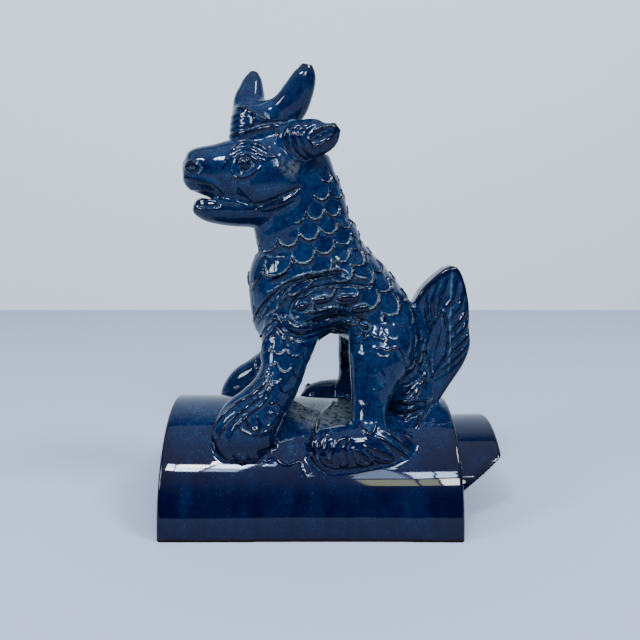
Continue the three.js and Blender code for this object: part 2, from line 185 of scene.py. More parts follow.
def skin_field(points, triangles):
    """A closed skin of triangles as a distance field: its lowest cell and its numbers."""
    grid = openvdb.FloatGrid.createLevelSetFromPolygons(
        points.astype(np.float32),
        triangles=triangles.astype(np.uint32),
        transform=openvdb.createLinearTransform(voxelSize=VOXEL),
        halfWidth=BAND / VOXEL,
    )
    low, high = grid.evalActiveVoxelBoundingBox()
    near = np.empty(np.subtract(high, low) + 1, np.float32)
    grid.copyToArray(near, ijk=low)
    return np.array(low), near


def cord(points, radii):
    """A cord of clay along points, as a distance field."""
    points = np.asarray(points, float)
    radii = np.broadcast_to(radii, len(points))
    margin = radii.max() + BAND
    low = np.floor((points.min(0) - margin) / VOXEL).astype(int)
    high = np.ceil((points.max(0) + margin) / VOXEL).astype(int)
    near = np.full(high - low, BAND, np.float32)
    for a, b, ra, rb in zip(points, points[1:], radii, radii[1:]):
        first = np.floor((np.minimum(a, b) - margin) / VOXEL).astype(int) - low
        last = np.ceil((np.maximum(a, b) + margin) / VOXEL).astype(int) - low
        first = np.maximum(first, 0)
        part = tuple(slice(f, l) for f, l in zip(first, last))
        axes = [
            (np.arange(cells.start, min(cells.stop, n)) + o) * VOXEL
            for cells, n, o in zip(part, near.shape, low)
        ]
        x, y, z = np.meshgrid(*axes, indexing="ij", sparse=True)
        span = b - a
        length = max(float(span @ span), 1e-9)
        x, y, z = x - a[0], y - a[1], z - a[2]
        t = np.clip((x * span[0] + y * span[1] + z * span[2]) / length, 0, 1)
        gap = (x - t * span[0]) ** 2 + (y - t * span[1]) ** 2 + (z - t * span[2]) ** 2
        near[part] = np.minimum(near[part], np.sqrt(gap) - ra - t * (rb - ra))
    return low, near


def ball(centre, radius):
    return cord([centre, np.array(centre) + 1e-3], radius)


def on_side(stations, side):
    """The stations of a limb on one flank."""
    return [[x, y * side, *rest] for x, y, *rest in stations]


def plain(points):
    return points


def draw(clay, line, side, radius, sink=0.3, blend=0.8, cut=False, taper=0.3, place=plain, steps=5):
    """Lays a cord over one flank, or cuts it in, along a line of points [x, z].

    `sink` is how deep the cord's centre lies, in radii. `place` turns the head's own points."""
    flat = spline(line, steps)
    t = np.linspace(0, 1, len(flat))
    starts = place(np.stack([flat[:, 0], np.full(len(flat), side * 90.0), flat[:, 1]], 1))
    ends = place(np.stack([flat[:, 0], np.zeros(len(flat)), flat[:, 1]], 1))
    towards = unit(ends - starts)
    hits = clay.surface(starts, towards)
    met = ~np.isnan(hits[:, 0])
    radii = radius * (taper + (1 - taper) * np.sin(np.pi * np.clip(t, 0.03, 0.97)) ** 0.5)
    centres = hits + towards * sink * radius
    clay.add(cord(centres[met], radii[met]), blend, cut)


def draw_all(clay, lines, side, **how):
    """Draws pairs of a radius and a line, all in the same way."""
    for radius, line in lines:
        draw(clay, line, side, radius, **how)


print("cells of", VOXEL, "mm")

# %% [markdown]
# ## The tile
#
# A ridge tile is thrown as a tube or pressed over a round former, and cut in half along its length.
# One end is stepped down to a spigot, which goes under the next tile of the ridge. Its wall is a
# profile turned about the ridge's axis, so its distance field needs only the distance from that axis.

# %% The barrel and its spigot
TILE_LENGTH = 170
TILE_RADIUS = 64
TILE_WALL = 11
SPIGOT_RADIUS = 52
SPIGOT_WALL = 10
SPIGOT_SHOULDER = 14
SPIGOT_CUT_FOOT = 21  # the spigot's end is cut on a slant between these heights
SPIGOT_CUT_TOP = 39
EDGE = 2.0  # rounded edges
HALF = TILE_LENGTH / 2
SPIGOT_END = HALF + SPIGOT_LENGTH
MARGIN = 4  # free room round the tile
GRID_TOP = 268


def slab(value, low, high):
    """The distance outside the band low..high of one coordinate."""
    return np.maximum(low - value, value - high)


def tile_field(clay):
    x, y, z = (
        (np.arange(n) + o).astype(np.float32) * VOXEL for n, o in zip(clay.field.shape, clay.low)
    )
    x = x[:, None, None]
    y = y[None, :, None]
    z = z[None, None, :]
    sag = 0.5 * np.sin(x / 31 + 0.6) + 0.35 * np.sin(y / 17 + x / 47)  # pressed by hand, never quite true
    r = np.sqrt(y * y + z * z) + sag.astype(np.float32)

    def ring(inner, outer, start, end):
        across = slab(r, inner + EDGE, outer - EDGE)
        along = slab(x, start + EDGE, end - EDGE)
        corner = np.sqrt(np.maximum(across, 0) ** 2 + np.maximum(along, 0) ** 2)
        return corner + np.minimum(np.maximum(across, along), 0) - EDGE

    barrel = ring(TILE_RADIUS - TILE_WALL, TILE_RADIUS, -HALF, HALF)
    tongue = ring(SPIGOT_RADIUS - SPIGOT_WALL, SPIGOT_RADIUS, HALF - SPIGOT_SHOULDER, SPIGOT_END)
    slope = np.array([SPIGOT_CUT_FOOT - SPIGOT_CUT_TOP, SPIGOT_LENGTH])
    slope = slope / np.linalg.norm(slope)
    slanted = -((x - HALF) * slope[0] + (z - SPIGOT_CUT_FOOT) * slope[1])
    tongue = np.maximum(tongue, np.where(x > HALF, slanted, -BAND))
    body = melt(barrel, tongue, 1.5)
    return np.clip(np.maximum(body, -z), -BAND, BAND)


grid_low = (-HALF - MARGIN, -TILE_RADIUS - MARGIN)
grid_high = (SPIGOT_END + MARGIN, TILE_RADIUS + MARGIN, GRID_TOP)
clay = Clay((*grid_low, -MARGIN), grid_high)
clay.field = tile_field(clay).astype(np.float32)
print("grid", clay.field.shape)

# %% [markdown]
# ## Trunk, legs and feet
#
# The beast sits like a dog: neck and chest stand upright, the back slopes down to the rump, and the
# legs straddle the barrel. Each mass is a loft with few stations, at the same places as the frame's
# solid, and each melts into the last with a fillet that suits its size.

# %% Trunk and legs
NECK_AND_CHEST = [
    [-5, 0, 213, 14, 15.5],
    [-5, 0, 193, 20, 24.5],
    [-4.5, 0, 171, 22.5, 29.5],
    [0, 0, 153, 25.5, 32],
    [-6, 0, 133, 28, 34],
    [-11.5, 0, 117, 27, 26.5],
    [-14, 0, 104, 22, 18.5],
    [-14, 0, 96, 12, 9],
]
BARREL_OF_BODY = [
    [-4, 0, 155, 20, 20],
    [12.5, 0, 142, 27, 26.5],
    [28.5, 0, 129, 28.5, 25],
    [43, 0, 113, 28.5, 22.5],
    [51, 0, 98, 25, 19],
    [56, 0, 83, 19, 15],
    [60, 0, 71, 17, 12.5],
    [61, 0, 61, 13, 10],
]
FORELEG = [
    [-8, 13, 122, 11, 17],
    [-12, 23, 108, 12, 16],
    [-14.7, 28, 98, 12, 14.4],
    [-16.3, 32, 89.5, 11.5, 12.7],
    [-20.5, 36, 80, 11, 12.6],
    [-27.5, 39.5, 70.5, 11, 14.5],
    [-35, 42, 61, 11.5, 17.5],
    [-38.5, 44, 51, 11, 18],
    [-38.5, 45, 42.5, 8, 12],
]
HIND_LEG = [
    [41, 15, 117, 10, 15],
    [41.5, 21, 106, 13, 18.5],
    [40, 25, 94, 14, 17.5],
    [37, 28, 82, 12.5, 14],
    [34.7, 31, 71, 11.5, 11],
    [33.8, 34.5, 61, 11.5, 10.4],
    [33.5, 38, 50, 11, 12],
]
HIND_FOOT = [
    [59, 38, 44.5, 3, 4],
    [54, 40, 45.5, 7, 9],
    [44, 42, 46.5, 9.5, 12],
    [31, 43.5, 47.5, 11, 13.5],
    [17, 44.5, 46.5, 11.5, 14],
    [5, 44.5, 45.5, 9.5, 11.5],
    [-1.5, 44, 45, 4, 5],
]
FAR_FOREFOOT_STEP = -7
FAR_HINDFOOT_STEP = (-5, -5, 6)
LEG_PARTS = ("foreleg", "hind leg", "hind foot")
LEG_BLEND = 8
FOOT_BLEND = {NEAR: 4, FAR: 9}
BEAST_FOOT = 30  # the beast's own grid starts at this height


def leg_stations(side):
    """Foreleg, hind leg and hind foot of one flank; the far feet stand a little forward."""
    step = FAR_FOREFOOT_STEP if side == FAR else 0
    dx, dy, dz = FAR_HINDFOOT_STEP if side == FAR else (0, 0, 0)
    last = len(FORELEG) - 1
    foreleg = [[x + step * i / last, *rest] for i, (x, *rest) in enumerate(FORELEG)]
    hind_leg = []
    for i, (x, y, z, *rest) in enumerate(HIND_LEG):
        share = i / (len(HIND_LEG) - 1)
        hind_leg.append([x + dx * min(1, 0.6 + share), y + dy * share, z + dz * share, *rest])
    hind_foot = [[x + dx, y + dy, z + dz, *rest] for x, y, z, *rest in HIND_FOOT]
    return [on_side(stations, side) for stations in (foreleg, hind_leg, hind_foot)]


trunk = Clay((-60, -45, 50), (80, 45, 225))
trunk.add(loft(NECK_AND_CHEST), 1)
trunk.add(loft(BARREL_OF_BODY), 9)
beast = Clay((*grid_low, BEAST_FOOT), grid_high)
beast.add(trunk.piece(), 1)
leg_skins = {}
for side in BOTH_SIDES:
    blends = (LEG_BLEND, LEG_BLEND, FOOT_BLEND[side])
    for name, stations, blend in zip(LEG_PARTS, leg_stations(side), blends):
        skin = loft(stations)
        beast.add(skin, blend)
        leg_skins[name, side] = skin
print("trunk and legs stand")

# %% [markdown]
# ## The tail
#
# The tail is a broad leaf of hair standing on its stem. A flat slab of clay is cut to the outline and
# its edges are rounded by swelling it: adding a fixed distance to the field does that in one step.
# The hair is drawn afterwards, each groove with the side of a tool and a raised strand beside it.

# %% The tail's leaf
TAIL_OUTLINE = [
    [69, 62], [66.5, 84], [65, 100], [64, 118], [66.5, 128.5], [73, 137], [85, 146],
    [90.5, 139], [94, 124], [94.5, 110], [95.5, 100], [92, 89], [84, 76], [76, 64],
]
TAIL_HALF_THICKNESS = 8
TAIL_SWELL = 2.2


def slab_of(outline, half_thickness, swell):
    """A flat leaf across y, cut to an outline of points [x, z] and swollen to round its edges."""
    flat = spline([*outline, outline[0]], 4)[:-1]
    n = len(flat)
    inner = half_thickness - swell
    near_face = np.stack([flat[:, 0], np.full(n, -inner), flat[:, 1]], 1)
    points = np.vstack([near_face, near_face * [1, -1, 1]])
    middle = np.vstack([points[:n].mean(0), points[n:].mean(0)])
    points = np.vstack([points, middle])
    k = np.arange(n)
    after = (k + 1) % n
    walls = [np.stack([k, after, n + after], 1), np.stack([k, n + after, n + k], 1)]
    hub = 0 * k + 2 * n
    caps = [np.stack([k, after, hub], 1), np.stack([n + k, n + after, hub + 1], 1)]
    low, near = skin_field(points, np.vstack(walls + caps))
    return low, near - swell


beast.add(slab_of(TAIL_OUTLINE, TAIL_HALF_THICKNESS, TAIL_SWELL), 3)
TAIL_STEM = [[60, 0, 62], [68, 0, 74], [72, 0, 90]]
TAIL_STEM_RADII = [11, 9, 6]
TAIL_ROOT_TUFT = [[48, 14, 70, 5, 8], [56, 17, 67, 7, 9.5], [64, 14, 66, 7, 9], [72, 7, 69, 5, 6]]
beast.add(cord(TAIL_STEM, TAIL_STEM_RADII), 5)
for side in BOTH_SIDES:
    beast.add(loft(on_side(TAIL_ROOT_TUFT, side)), 3)
print("tail stands")

# %% [markdown]
# ## The head
#
# The head is shaped looking straight along the ridge and then turned on the neck, so both of its
# halves can be shaped alike. Skull, jaw, crown, horns and ears are lofts again, and the mouth is cut
# as a flat wedge.

# %% Skull, jaw, crown, horns and ears
HEAD_TURN = math.radians(13)
HEAD_PIVOT_X = -8
SKULL = [
    [8, 0, 205, 9, 9],
    [-1, 0, 206, 16, 16],
    [-12, 0, 206.5, 20, 21],
    [-24, 0, 205.5, 22, 23],
    [-36, 0, 203.6, 20, 21.2],
    [-47, 0, 203.2, 16, 18.7],
    [-57, 0, 203.2, 13.5, 15.8],
    [-66, 0, 203.6, 12, 13.4],
    [-72, 0, 203.2, 9.5, 10.2],
    [-75.3, 0, 203.2, 4.5, 5.2],
]
LOWER_JAW = [
    [-8, 0, 190, 13, 9],
    [-20, 0, 186, 17, 11.5],
    [-32, 0, 183, 16, 11.5],
    [-44, 0, 181.2, 13.5, 9.6],
    [-55, 0, 181.6, 12, 8.6],
    [-63, 0, 182.4, 10, 7.2],
    [-68, 0, 183, 6, 4.6],
    [-69.8, 0, 183.4, 2.5, 2],
]
MOUTH = [
    [-82, 0, 190.2, 16, 1.9],
    [-73, 0, 190.2, 15, 1.5],
    [-67, 0, 189.6, 14, 1.1],
    [-62, 0, 188.4, 14, 0.8],
    [-58.5, 0, 187.2, 14, 0.5],
]
CROWN = [
    [-27, 0, 216, 15, 17],
    [-28.5, 0, 226, 15.5, 19],
    [-29, 0, 233, 14.5, 17.5],
    [-28, 0, 239, 12, 14],
    [-28, 0, 243, 5, 6],
]
FAR_HORN = [
    [-33.5, 4, 233, 9, 11.5],
    [-35, 7, 243, 7.8, 9.8],
    [-33.6, 9.5, 251, 6.2, 7.6],
    [-32.2, 11.5, 258, 4.6, 5.2],
    [-31.6, 12.3, 262.4, 2.2, 2.4],
]
NEAR_HORN = [
    [-26, -3, 232, 9, 9.5],
    [-15.6, -9.5, 238.5, 9, 10],
    [-10.2, -13, 247.5, 7.6, 8.7],
    [-6.6, -15.5, 256.5, 5.6, 6.4],
    [-5.6, -17, 262.2, 2.4, 2.8],
]
EAR = [
    [-19, 12, 221, 8, 8.5],
    [-11, 18.5, 221, 7, 10.2],
    [-3, 22.5, 221.3, 5.5, 10.6],
    [4, 25.5, 223, 4, 8],
    [9.5, 27.5, 227.3, 1.6, 2.6],
]
EAR_CUP = [[-6.5, 28.4, 218.6, 2.6, 2.8], [0.5, 30, 221.8, 3, 4.6], [6.8, 31, 225.2, 1.8, 1.8]]
EAR_LIFT = {NEAR: 0, FAR: 8}
CHEEK = [
    [-45, 15, 199, 2, 4],
    [-34, 17, 197, 5, 12],
    [-22, 17.6, 198, 6.6, 14.5],
    [-11, 16, 203, 5, 12],
    [-6, 15, 205, 2, 6],
]
EYE = (-42, 15.2, 206.8)
EYE_RADIUS = 4.8
NOSTRIL = (-71, 6.5, 205.3)
NOSTRIL_RADIUS = 3.7


def turned(points):
    """Points of the head after it is turned on the neck."""
    x, y, z = np.moveaxis(np.asarray(points, float), -1, 0)
    x = x - HEAD_PIVOT_X
    c, s = math.cos(HEAD_TURN), math.sin(HEAD_TURN)
    return np.stack([HEAD_PIVOT_X + x * c - y * s, x * s + y * c, z], -1)


def turned_ball(x, y, z, radius):
    return ball(turned([x, y, z]), radius)


def raised_ear(stations, side):
    """An ear's stations on one flank; the far ear stands higher towards its tip."""
    root, tip = EAR[0][0], EAR[-1][0]
    lift = EAR_LIFT[side]
    lifted = [[x, y, z + lift * (x - root) / (tip - root), *rest] for x, y, z, *rest in stations]
    return on_side(lifted, side)


head = Clay((-90, -40, 165), (30, 40, 268))
head_loft = functools.partial(loft, place=turned)
head.add(head_loft(SKULL), 1)
head.add(head_loft(LOWER_JAW), 3)
for side in BOTH_SIDES:
    head.add(head_loft(on_side(CHEEK, side)), 5)
head.add(head_loft(MOUTH), 1.2, cut=True)
head.add(head_loft(CROWN), 1.5)
for horn in (FAR_HORN, NEAR_HORN):
    head.add(head_loft(horn), 4)
x, y, z = NOSTRIL
for side in BOTH_SIDES:
    head.add(head_loft(raised_ear(EAR, side)), 2.5)
    head.add(head_loft(raised_ear(EAR_CUP, side)), 0.8, cut=True)
    head.add(turned_ball(x, y * side, z, NOSTRIL_RADIUS), 2.5)
print("head stands")

# %% [markdown]
# ## Lines of the face
#
# Brows, lids and lips are thin rolls of clay laid on and pressed down; the crease of the jaw is cut.
# Each is a line of points in the side view. A ray from the side finds the clay under every point, so
# the same line fits both cheeks.

# %% Face lines
FACE_ROLLS = [
    (1.5, [
        [-53.5, 204], [-50.2, 210], [-46.8, 215], [-41.8, 218], [-36, 217.6], [-31.6, 216],
        [-28.7, 213],
    ]),
    (1.2, [
        [-50, 205], [-48.4, 209.9], [-45.4, 213.4], [-40.4, 215], [-36, 213.8], [-33, 211.2],
        [-29, 210.4], [-24, 211],
    ]),
    (1.2, [
        [-47.4, 204], [-46.4, 209], [-43.4, 211.3], [-39, 211.4], [-36.2, 209.3], [-33.2, 207.9],
        [-28.8, 208.6],
    ]),
    (1.3, [[-50.2, 203.6], [-47.2, 200], [-42.9, 198.6], [-37.8, 200.6], [-33.3, 205]]),
    (1.5, [[-71, 193.4], [-66, 193.6], [-61.5, 192.4], [-58, 190.4], [-55, 186.6]]),
    (1.0, [[-68, 186], [-65, 186.4], [-60, 186.4], [-56.5, 185.6]]),
    (1.3, [[-74.6, 199.6], [-70.4, 198.4], [-65.4, 197.4], [-60, 196], [-55.6, 193]]),
    (1.1, [[-34, 181.4], [-26.3, 182.6], [-18, 186.4], [-10.5, 190.6], [-7.6, 195]]),
    (1.4, [[-43, 221.6], [-37, 224.6], [-30.4, 226.8], [-23.8, 227.9], [-17.5, 228.4]]),
    (1.2, [[-44, 239.6], [-40.4, 237.6], [-37, 235.4], [-36, 231.5], [-37, 228]]),
    (1.2, [[-37.4, 235.8], [-33, 233.4], [-28, 231]]),
]
FACE_CREASES = [
    (1.1, [[-72, 196.4], [-66, 195.8], [-60.5, 194.6], [-56.6, 192], [-53.2, 187.7]]),
    (1.0, [[-68, 183.6], [-62, 182.6], [-56, 183.6]]),
    (2.1, [[-45.5, 186.4], [-38.2, 184.2], [-32, 184], [-24, 187], [-16.4, 190.6], [-9.4, 195.4]]),
    (0.9, [[-66.6, 208.2], [-66.2, 204.4], [-68.4, 201]]),
    (1.1, [[-43.5, 224.2], [-37, 227.2], [-30.4, 229.4], [-23.8, 230.2], [-17.5, 230.6]]),
]
EYE_GROOVE = [3.9, 1.0]  # its distance from the eye's middle, and its radius
NOSTRIL_RING = [2.7, 0.9]
NOSTRIL_HOLE = [0.6, 1.5]  # half its length, and its radius


def circle(x, z, radius, points=12):
    """A closed round line in the side view."""
    angle = np.linspace(0, 2 * np.pi, points + 1)
    return np.stack([x + radius * np.cos(angle), z + radius * np.sin(angle)], 1)


for side in BOTH_SIDES:
    x, y, z = EYE
    head.add(turned_ball(x, y * side, z, EYE_RADIUS), 0.6)
    draw_all(head, FACE_ROLLS, side, sink=0.25, place=turned)
    draw_all(head, FACE_CREASES, side, sink=0.05, cut=True, place=turned)
    far, radius = EYE_GROOVE
    draw(head, circle(x, z, far), side, radius, sink=-0.1, cut=True, taper=1, blend=0.5, place=turned)
    x, _, z = NOSTRIL
    far, radius = NOSTRIL_RING
    draw(head, circle(x, z, far), side, radius, sink=0.1, taper=1, blend=0.6, place=turned)
    far, radius = NOSTRIL_HOLE
    hole = [[x - far, z], [x + far, z]]
    draw(head, hole, side, radius, sink=0.3, taper=1, cut=True, place=turned)

WRINKLE_ROLLS = 4
WRINKLE_ARC = (-62, 88)  # degrees round the crown, with 0 in front
WRINKLE_MIDDLE = (-29.4, 223.6)  # x and z of the lowest roll
WRINKLE_REACH = (17.6, 15.2)  # half its depth along x, and half its width
WRINKLE_NARROWER = (0.5, 0.6)  # how much both lose from roll to roll
WRINKLE_RISE = 3.5  # from roll to roll, and from front to side
WRINKLE_RADIUS = 1.5
angle = np.radians(np.linspace(*WRINKLE_ARC, 14))
for k in range(WRINKLE_ROLLS):
    deep, wide = (reach - less * k for reach, less in zip(WRINKLE_REACH, WRINKLE_NARROWER))
    along_x = WRINKLE_MIDDLE[0] - deep * np.cos(angle)
    height = WRINKLE_MIDDLE[1] + WRINKLE_RISE * k + WRINKLE_RISE * (1 - np.cos(angle))
    roll = np.stack([along_x, wide * np.sin(angle), height], 1)
    radii = WRINKLE_RADIUS * np.cos(0.9 * (angle - 0.2)).clip(0.35)
    head.add(cord(turned(roll), radii), 0.8)

EAR_RINGS = [
    [[-12, 229], [-17, 226.5], [-18.9, 222], [-18, 217.6], [-15.2, 213.2], [-10, 209.6]],
    [[-9, 229], [-13.6, 226.4], [-15.2, 222.6], [-14.3, 218.2], [-11.6, 213.8], [-7, 210.4]],
    [[-6, 228.6], [-10.4, 226], [-11.9, 222.6], [-10.7, 218.6], [-8.2, 214.9], [-4, 212]],
    [[-3.5, 228.4], [-7.4, 225.6], [-8.7, 222], [-7.6, 218.6], [-5, 215.6]],
]
EAR_RIM = [
    [-7.3, 219.6], [-5.2, 223.2], [-0.8, 226.2], [4.4, 227.2],
    [7.6, 225.6], [5.4, 221], [0, 217.4], [-5, 216.6], [-7.3, 219.6],
]
EAR_RIB = [[-4, 219.8], [1, 222.2], [6, 224.8]]
RING_LIFT = 0.15  # shares of the far ear's lift: from ring to ring, and for the cup
CUP_LIFT = 0.65


def shifted(line, dx, dz=0):
    return [[x + dx, z + dz] for x, z in line]


for side in BOTH_SIDES:
    lift = EAR_LIFT[side]
    for k, ring in enumerate(EAR_RINGS):
        raised = shifted(ring, 0, lift * RING_LIFT * k)
        draw(head, raised, side, 1.45, sink=0.25, taper=0.5, place=turned)
    rim, rib = (shifted(line, 0, CUP_LIFT * lift) for line in (EAR_RIM, EAR_RIB))
    draw(head, rim, side, 1.0, sink=0.1, taper=1, place=turned)
    draw(head, rib, side, 0.8, sink=-0.1, place=turned)

beast.add(head.piece(), 8)
print("face drawn")

# %% [markdown]
# ## Bands, locks and curls
#
# A cloud band loops over each shoulder, double chevrons mark the top of the foreleg, and strands of
# hair sweep down over the feet. They are laid on the finished body in the same way as the lines of
# the face. The former of the tile then cuts away all clay below the barrel's wall.

# %% The shoulder's band
SHOULDER_BAND = [
    [33, 140], [18, 142], [0, 139.5], [-12, 131.5], [-15.5, 121.5],
    [-9, 114], [3, 114], [18, 118.5], [32, 114.5],
]
BAND_RADIUS = 3.7
BAND_MOAT = 1.0  # the band lies in a groove this much wider
BODY_ROLLS = [
    (1.2, [
        [-36, 112], [-33, 119], [-27, 128.5], [-16, 138.4], [-3.2, 144], [8.3, 145.8], [17, 147],
        [26, 143], [33, 142],
    ]),
    (1.4, [
        [-31, 105], [-27.6, 110.8], [-24, 115.5], [-19, 119.6], [-15, 115.5], [-12.5, 109], [-8, 104],
    ]),
    (1.1, [[-28, 104], [-25, 109], [-19.2, 114.6], [-16, 110.5], [-14, 104.5]]),
    (0.9, [[1, 104], [6, 109], [13, 110.6], [19, 108.6]]),
    (0.9, [[4, 102.5], [8, 106], [13, 107.4], [18, 105.6]]),
    (0.9, [[23, 109.5], [24.9, 112.9], [28.4, 113.1], [27.4, 109.9], [23.4, 108.6]]),
    (1.0, [[27.4, 105], [32.2, 108.8], [31.8, 110.8], [41.3, 108]]),
    (1.1, [
        [36.9, 103.5], [43.5, 101.9], [46.8, 103], [50.9, 101.9], [55.2, 91.8], [56.8, 94.6],
        [52.5, 100.6],
    ]),
]
BAND_LUMPS = [
    (2.6, [[-7, 125.4], [-2.6, 127]]),
    (2.7, [[3.4, 129.6], [10.6, 130.8]]),
    (2.9, [[17, 131], [26, 131.8]]),
    (1.3, [[-3, 122.4], [4, 123.4], [13, 125.4], [20, 124.4]]),
    (2.9, [[25.5, 124.4], [32, 126]]),
]
BODY_CREASES = [
    (1.2, [[-31, 117.6], [-25, 127], [-15.6, 136.2], [-2, 142.6], [9, 144.6], [18, 145.4], [26, 142]]),
    (0.9, [[-33, 111], [-29, 117], [-22, 123.5], [-16.5, 117], [-12, 110.5], [-4, 107.6], [6, 108.6]]),
]
FORELEG_ROLLS = [
    (1.6, [[-24, 93], [-26.5, 84], [-33, 78.5], [-41, 74], [-49, 67], [-55.5, 57]]),
    (1.4, [[-22, 90], [-24.5, 81], [-34, 73.5], [-43, 66.5], [-48.5, 60], [-52, 54]]),
    (1.3, [[-20, 86], [-25, 76], [-33, 69.5], [-40.5, 62.5], [-45, 55]]),
    (1.6, [[-37, 68.5], [-35, 63.5], [-31, 60.4], [-28.2, 62.5], [-29.6, 67.5]]),
    (1.5, [[-26.5, 61.5], [-22.4, 62.5], [-19.8, 67], [-22.6, 69], [-25.4, 66]]),
    (1.3, [[-41, 63], [-36, 59.5], [-29, 57.4], [-22.4, 60.6], [-18.5, 67], [-17.5, 73]]),
    (1.1, [[-51, 50], [-46, 44], [-38, 41.4]]),
    (1.1, [[-43, 49], [-40, 44.5], [-34, 42.5]]),
    (1.1, [[-35.5, 50], [-33.5, 45], [-29, 43.2]]),
]
HIND_FOOT_ROLLS = [
    (1.6, [[14, 63.4], [6.9, 60], [2.2, 54], [2.4, 45], [6.5, 38.6], [14, 36]]),
    (1.2, [[12.4, 59.6], [7.4, 55.6], [5.4, 48.6], [8, 42], [12.4, 39.6]]),
    (1.3, [[11.6, 57], [8.4, 51], [8, 44.6], [11.6, 44], [12.4, 50], [11.6, 57]]),
    (1.3, [[13.8, 48.5], [15.6, 54.6], [21.6, 55.4], [18.8, 51], [20.4, 44.4], [17.6, 41], [13.8, 48.5]]),
    (1.2, [[22, 50.4], [25, 49.4], [33, 43.2], [30.4, 40.6], [24.4, 44.6], [22, 50.4]]),
    (1.2, [[29.8, 51.6], [35.6, 49.4], [45.2, 44.4], [42.4, 41.8], [34.4, 45.4], [29.8, 51.6]]),
    (1.4, [[35.6, 56.4], [42.4, 52.6], [54.4, 43.2]]),
    (1.2, [[38.6, 59.4], [46, 55], [55.6, 47.4]]),
    (1.4, [[28, 62], [33, 57], [37, 62]]),
]
for side in BOTH_SIDES:
    draw(beast, SHOULDER_BAND, side, BAND_RADIUS + BAND_MOAT, sink=0.0, cut=True, blend=1.5, taper=0.5)
    draw(beast, SHOULDER_BAND, side, BAND_RADIUS, sink=-0.2, blend=0.5, taper=0.6)
    draw_all(beast, BAND_LUMPS, side, sink=0.35, blend=0.5, taper=0.7)
    draw_all(beast, BODY_ROLLS, side, sink=0.15, blend=0.6)
    draw_all(beast, BODY_CREASES, side, sink=-0.15, cut=True, blend=0.6)
print("bands laid")

# %% Locks on the feet and hair of the tail


def clear_of_former(clay, radius):
    """Cuts away all clay below the barrel's wall, where the former stood."""
    y, z = ((np.arange(n) + o) * VOXEL for n, o in zip(clay.field.shape[1:], clay.low[1:]))
    depth = radius - np.hypot(y[:, None], z[None, :])
    clay.field = np.maximum(clay.field, np.clip(depth, -BAND, BAND)[None].astype(np.float32))


clear_of_former(beast, TILE_RADIUS - TILE_WALL / 2)
beast.add(clay.piece(), 2.5)
for side in BOTH_SIDES:
    fore = FAR_FOREFOOT_STEP * 0.7 if side == FAR else 0
    hind_x, _, hind_z = FAR_HINDFOOT_STEP if side == FAR else (0, 0, 0)
    for radius, line in FORELEG_ROLLS:
        draw(beast, shifted(line, fore), side, radius, sink=0.2, blend=0.7)
    for radius, line in HIND_FOOT_ROLLS:
        draw(beast, shifted(line, hind_x, hind_z), side, radius, sink=0.2, blend=0.6)

SLIP_LINE = [
    [-27, 43.4], [-25.7, 41], [-19.6, 42.2], [-16.3, 40], [-12, 39.4], [-6.4, 41], [-4.2, 37.6],
    [-2, 34],
]
draw(beast, SLIP_LINE, NEAR, 0.7, sink=0.1, blend=0.5)

TAIL_GROOVES = [
    [[72.4, 104], [71.6, 110], [69, 117], [67.6, 125]],
    [[74.2, 110], [72, 118], [71.4, 126], [73.5, 135]],
    [[76.4, 115], [76, 123], [76.8, 131], [79.5, 139]],
    [[80.4, 119], [80.6, 125], [83.6, 131], [85, 142]],
    [[83, 115], [86, 122.5], [90, 128.5], [90.6, 137]],
    [[84, 110], [88.6, 115], [92.4, 121], [93.6, 128]],
    [[84.4, 103], [89, 108.6], [93, 113.4], [95, 119]],
    [[84.2, 96], [89, 101.4], [94.4, 107], [96, 112]],
    [[80, 86], [87, 92.4], [93, 98], [96, 103]],
    [[76.5, 79], [85.5, 85.6], [92, 92.5], [95, 96]],
]
ALMOND_SLIT = [[74.6, 84], [75.4, 96], [78, 108], [80, 117]]
ALMOND = [
    [74.6, 81], [70.4, 95], [72.4, 106], [76, 114.6], [80.4, 120.4], [83.6, 106], [82.6, 93],
    [74.6, 81],
]
TAIL_ROOT_ROLLS = [
    [[53, 68.4], [60, 68.6], [70, 67.4]],
    [[55.4, 58], [62, 61.4], [69, 65]],
    [[62, 55.4], [68, 61.4], [71.4, 65.6]],
    [[56.3, 72], [61.8, 76.4], [67.4, 80]],
    [[60.8, 70.8], [65.3, 76.4], [70, 82]],
    [[52.6, 62], [60, 64.6], [69, 66.4]],
]


def midway(one, other):
    """The line halfway between two lines of as many points."""
    return (np.array(one) + np.array(other)) / 2


for side in BOTH_SIDES:
    for groove in TAIL_GROOVES:
        draw(beast, groove, side, 1.3, sink=-0.25, cut=True, blend=0.9)
    for one, other in zip(TAIL_GROOVES, TAIL_GROOVES[1:]):
        draw(beast, midway(one, other), side, 1.3, sink=0.35, blend=0.8)
    draw(beast, ALMOND, side, 1.1, sink=0.2, taper=1, blend=0.6)
    draw(beast, ALMOND_SLIT, side, 1.0, sink=-0.1, cut=True)
    for line in TAIL_ROOT_ROLLS:
        draw(beast, line, side, 2.1, sink=0.1, blend=0.7, taper=0.45)
print("hair drawn")

# %% [markdown]
# ## From clay to mesh
#
# The whole beast and its tile join, and the grid's zero surface becomes one closed skin of small
# quads. Every point of the skin is then asked where it lies on the trunk or on a leg: how far along
# the limb, and which way round it. Scales are later laid by those places. Points on a band, on the
# head or in a fillet lie off the bare limb, so they get no scales.

# %% One closed skin
clay.add(beast.piece(), 0.01)


def skin_of(clay):
    """The zero surface of a field, as points in millimetres and quads facing out."""
    grid = openvdb.FloatGrid(background=BAND)
    grid.copyFromArray(clay.field, ijk=clay.low, tolerance=0)
    points, quads = grid.convertToQuads(0.0)
    return points * VOXEL, quads[:, ::-1]


points, quads = skin_of(clay)
print(len(points), "points", points.min(0).round(1), points.max(0).round(1))

